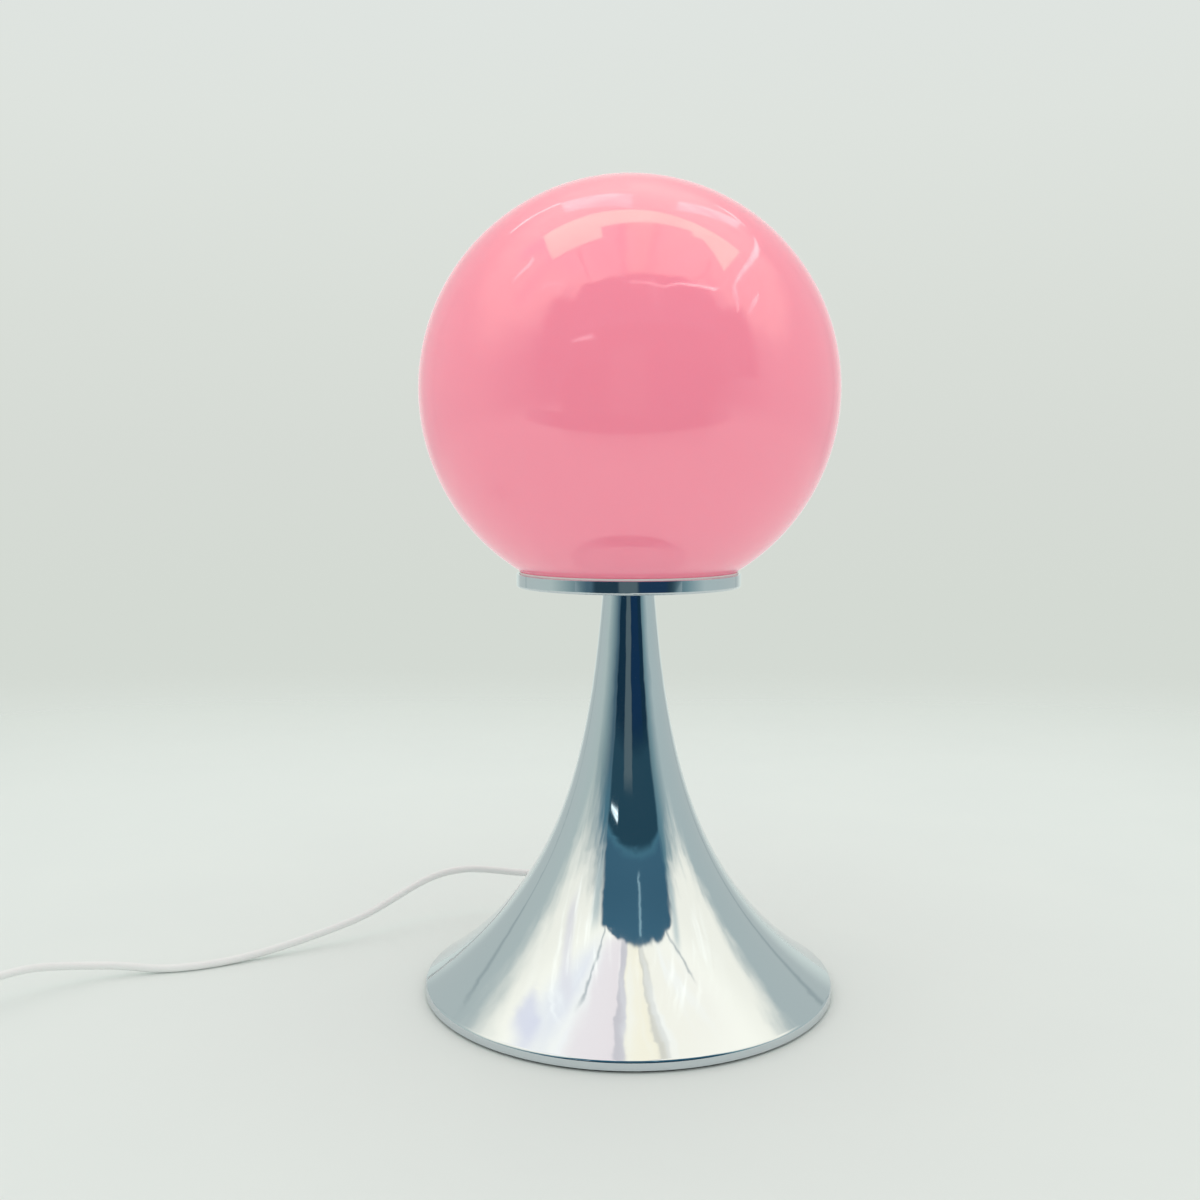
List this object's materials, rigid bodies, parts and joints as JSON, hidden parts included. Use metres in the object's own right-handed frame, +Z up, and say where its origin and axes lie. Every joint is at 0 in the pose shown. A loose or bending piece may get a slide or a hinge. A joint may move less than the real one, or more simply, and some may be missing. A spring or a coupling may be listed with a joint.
{
  "type": "table lamp",
  "caption": "Table lamp: a glass globe on a thin ring, a slim stem that flares like a trumpet into a round foot, and a cord with switch and plug.",
  "frame": {"origin": "centre of the round foot, on the table that it stands on", "axes": "+Z up through stem and globe, -Y towards the front; the cord leaves at the back left and lies towards -X"},
  "size_m": [0.5355, 0.2012, 0.391],
  "materials": {
    "opal_glass": "glossy opal glass, pink all through",
    "chrome": "polished chrome plate",
    "soft_rubber": "matt",
    "soft_white": "soft matt",
    "plated_steel": "bright plated",
    "cast_iron": "as cast",
    "white_plastic": "satin",
    "ceramic_white": "matt",
    "brass": "bright",
    "dark_insulator": "smooth",
    "bulb_aluminium": "satin",
    "frosted_plastic": "frosted",
    "lead_brown": "smooth",
    "lead_blue": "smooth",
    "cord_white": "soft matt",
    "tie_plastic": "soft matt"
  },
  "bodies": {
    "stand": {"base_plate": "plated_steel", "base_weight": "cast_iron", "bottom_nut": "plated_steel", "bottom_washer": "plated_steel", "centre_contact": "brass", "clamp_screws": "plated_steel", "cord_bushing": "white_plastic", "cord_clamp_bar": "ceramic_white", "cord_clamp_base": "ceramic_white", "cord_coil": "cord_white", "cord_inner": "cord_white", "cord_link": "cord_white", "cord_run": "cord_white", "cord_tail": "cord_white", "cord_tie": "tie_plastic", "foot_pad": "soft_rubber", "globe_gasket": "soft_white", "holder_cap": "white_plastic", "holder_insert": "ceramic_white", "holder_shell": "white_plastic", "lead_live": "lead_brown", "lead_neutral": "lead_blue", "plug_body": "white_plastic", "plug_pins": "plated_steel", "ring_nut": "plated_steel", "ring_washer": "plated_steel", "screw_shell": "brass", "shade_ring": "chrome", "switch_base": "white_plastic", "switch_contacts": "brass", "switch_cover": "white_plastic", "switch_pin": "plated_steel", "switch_screws": "plated_steel", "terminals": "brass", "threaded_tube": "plated_steel", "trumpet_base": "chrome", "weight_screws": "plated_steel"},
    "globe": {"globe": "opal_glass"},
    "bulb_contact": {"bulb_tip": "dark_insulator"},
    "bulb": {"bulb_cap": "bulb_aluminium", "bulb_body": "white_plastic", "bulb_led_board": "bulb_aluminium", "bulb_diffuser": "frosted_plastic"},
    "rocker": {"switch_rocker": "white_plastic"}
  },
  "joints": [
    {"name": "globe_lift", "type": "slide", "parent": "stand", "child": "globe", "axis": [0, 0, 1], "range_m": [0, 0.18]},
    {"name": "bulb_rise", "type": "slide", "parent": "stand", "child": "bulb_contact", "axis": [0, 0, 1], "range_m": [0, 0.01815]},
    {"name": "bulb_turn", "type": "hinge", "parent": "bulb_contact", "child": "bulb", "pos_m": [0, 0, 0.25], "axis": [0, 0, 1], "range_deg": [0, 1805]},
    {"name": "switch_rock", "type": "hinge", "parent": "stand", "child": "rocker", "pos_m": [-0.364, -0.065, 0.0135], "axis": [0, -1, 0], "range_deg": [0, 16]}
  ],
  "couplings": [
    {"joint": "bulb_turn", "follows": "bulb_rise", "rad_per_m": 1730.9}
  ]
}
